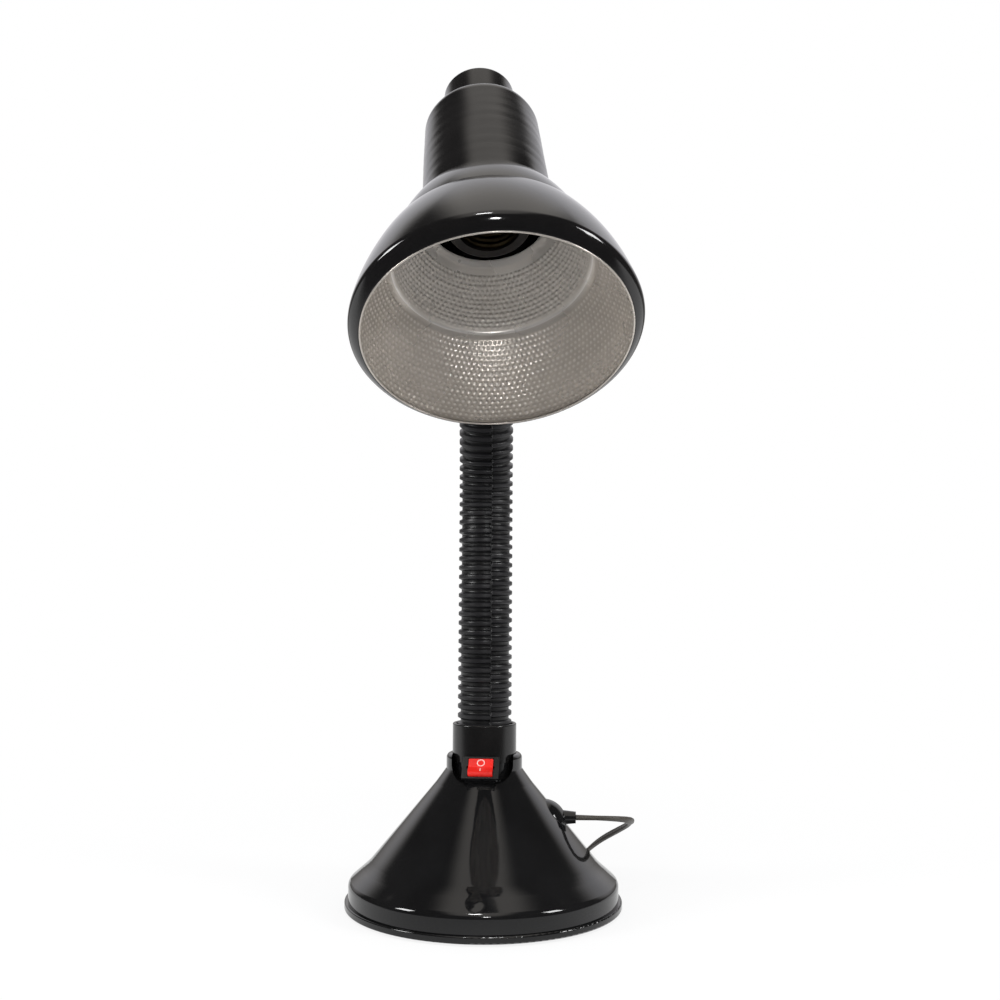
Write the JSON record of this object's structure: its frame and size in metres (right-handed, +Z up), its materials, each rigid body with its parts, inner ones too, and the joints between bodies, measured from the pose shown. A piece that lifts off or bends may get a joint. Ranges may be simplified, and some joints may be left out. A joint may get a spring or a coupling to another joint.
{
  "type": "gooseneck reading lamp",
  "caption": "Table reading lamp: weighted conical base with rocker switch, ribbed flexible neck and black bell shade with hammered reflector around a screw lampholder.",
  "frame": {"origin": "centre of the base on the table", "axes": "+Z up, the switch and the shade's mouth towards -Y, the cord leaving towards +X"},
  "size_m": [0.1475, 0.3401, 0.406],
  "materials": {
    "black_gloss_plastic": "moulded, polished",
    "neck_sleeve_pvc": "satin moulded, ribbed",
    "neck_core_steel": "plain",
    "shade_paint": "gloss black enamel",
    "reflector_aluminium": "hammered, satin",
    "switch_black": "fine moulded grain",
    "switch_red": "glossy, slightly clear",
    "brass": "plain",
    "zinc_steel": "zinc plated",
    "ballast_iron": "as cast",
    "felt": "pressed felt",
    "holder_phenolic": "moulded phenolic",
    "cord_pvc": "satin extruded",
    "pin_nickel": "nickel plated"
  },
  "bodies": {
    "base": {"felt_pad": "felt", "bottom_plate": "black_gloss_plastic", "plate_screws": "zinc_steel", "ballast_weight": "ballast_iron", "base_shell": "black_gloss_plastic", "neck_collar": "black_gloss_plastic", "neck_nipple": "zinc_steel", "neck_washer": "zinc_steel", "neck_lock_nut": "zinc_steel", "switch_body": "switch_black", "switch_terminals": "brass", "cord_gland": "black_gloss_plastic", "gland_nut": "switch_black", "cord_lead": "cord_pvc", "cord_coil": "cord_pvc", "coil_tie": "cord_pvc", "cord_tail": "cord_pvc", "plug_body": "cord_pvc", "plug_pins": "pin_nickel", "neck_sleeve_1": "neck_sleeve_pvc", "neck_core_1": "neck_core_steel"},
    "rocker": {"switch_rocker": "switch_red"},
    "neck_2": {"neck_sleeve_2": "neck_sleeve_pvc", "neck_core_2": "neck_core_steel"},
    "neck_3": {"neck_sleeve_3": "neck_sleeve_pvc", "neck_core_3": "neck_core_steel"},
    "neck_4": {"neck_sleeve_4": "neck_sleeve_pvc", "neck_core_4": "neck_core_steel"},
    "neck_5": {"neck_sleeve_5": "neck_sleeve_pvc", "neck_core_5": "neck_core_steel"},
    "neck_6": {"neck_sleeve_6": "neck_sleeve_pvc", "neck_core_6": "neck_core_steel"},
    "neck_7": {"neck_sleeve_7": "neck_sleeve_pvc", "neck_core_7": "neck_core_steel"},
    "neck_8": {"neck_sleeve_8": "neck_sleeve_pvc", "neck_core_8": "neck_core_steel"},
    "head": {"neck_sleeve_9": "neck_sleeve_pvc", "neck_core_9": "neck_core_steel", "head_ferrule": "black_gloss_plastic", "head_nipple": "zinc_steel", "head_lock_nut": "zinc_steel", "shade": "shade_paint", "reflector": "reflector_aluminium", "end_cap": "black_gloss_plastic", "holder_nipple": "zinc_steel", "holder_lock_nut": "zinc_steel", "lampholder_body": "holder_phenolic", "screw_shell": "brass", "centre_contact": "brass", "holder_terminals": "brass"}
  },
  "joints": [
    {"name": "neck_bend_1", "type": "hinge", "parent": "base", "child": "neck_2", "pos_m": [0, 0, 0.1052], "axis": [0.9971, 0.0767, 0], "range_deg": [-18, 12]},
    {"name": "neck_sway_1", "type": "hinge", "parent": "neck_2", "child": "neck_3", "pos_m": [0, 0, 0.1334], "axis": [-0.0767, 0.9971, 0], "range_deg": [-12, 12]},
    {"name": "neck_bend_2", "type": "hinge", "parent": "neck_3", "child": "neck_4", "pos_m": [0, 0, 0.1616], "axis": [0.9971, 0.0767, 0], "range_deg": [-18, 12]},
    {"name": "neck_sway_2", "type": "hinge", "parent": "neck_4", "child": "neck_5", "pos_m": [0, 0, 0.1898], "axis": [-0.0767, 0.9971, 0], "range_deg": [-12, 12]},
    {"name": "neck_bend_3", "type": "hinge", "parent": "neck_5", "child": "neck_6", "pos_m": [0.00018, -0.00229, 0.21784], "axis": [0.9971, 0.0767, 0], "range_deg": [-18, 12]},
    {"name": "neck_sway_3", "type": "hinge", "parent": "neck_6", "child": "neck_7", "pos_m": [0.00088, -0.01142, 0.24445], "axis": [-0.0708, 0.9198, 0.3859], "range_deg": [-12, 12]},
    {"name": "neck_bend_4", "type": "hinge", "parent": "neck_7", "child": "neck_8", "pos_m": [0.00171, -0.02227, 0.27047], "axis": [0.9971, 0.0767, 0], "range_deg": [-18, 12]},
    {"name": "neck_sway_4", "type": "hinge", "parent": "neck_8", "child": "head", "pos_m": [0.00259, -0.03365, 0.29624], "axis": [-0.0664, 0.8624, 0.5019], "range_deg": [-12, 12]},
    {"name": "switch_rock", "type": "hinge", "parent": "base", "child": "rocker", "pos_m": [0, -0.02073, 0.07173], "axis": [1, 0, 0], "range_deg": [0, 24]}
  ],
  "couplings": [
    {"joint": "neck_bend_2", "follows": "neck_bend_1", "ratio": 1},
    {"joint": "neck_sway_2", "follows": "neck_sway_1", "ratio": 1},
    {"joint": "neck_bend_3", "follows": "neck_bend_1", "ratio": 1},
    {"joint": "neck_sway_3", "follows": "neck_sway_1", "ratio": 1},
    {"joint": "neck_bend_4", "follows": "neck_bend_1", "ratio": 1},
    {"joint": "neck_sway_4", "follows": "neck_sway_1", "ratio": 1}
  ]
}
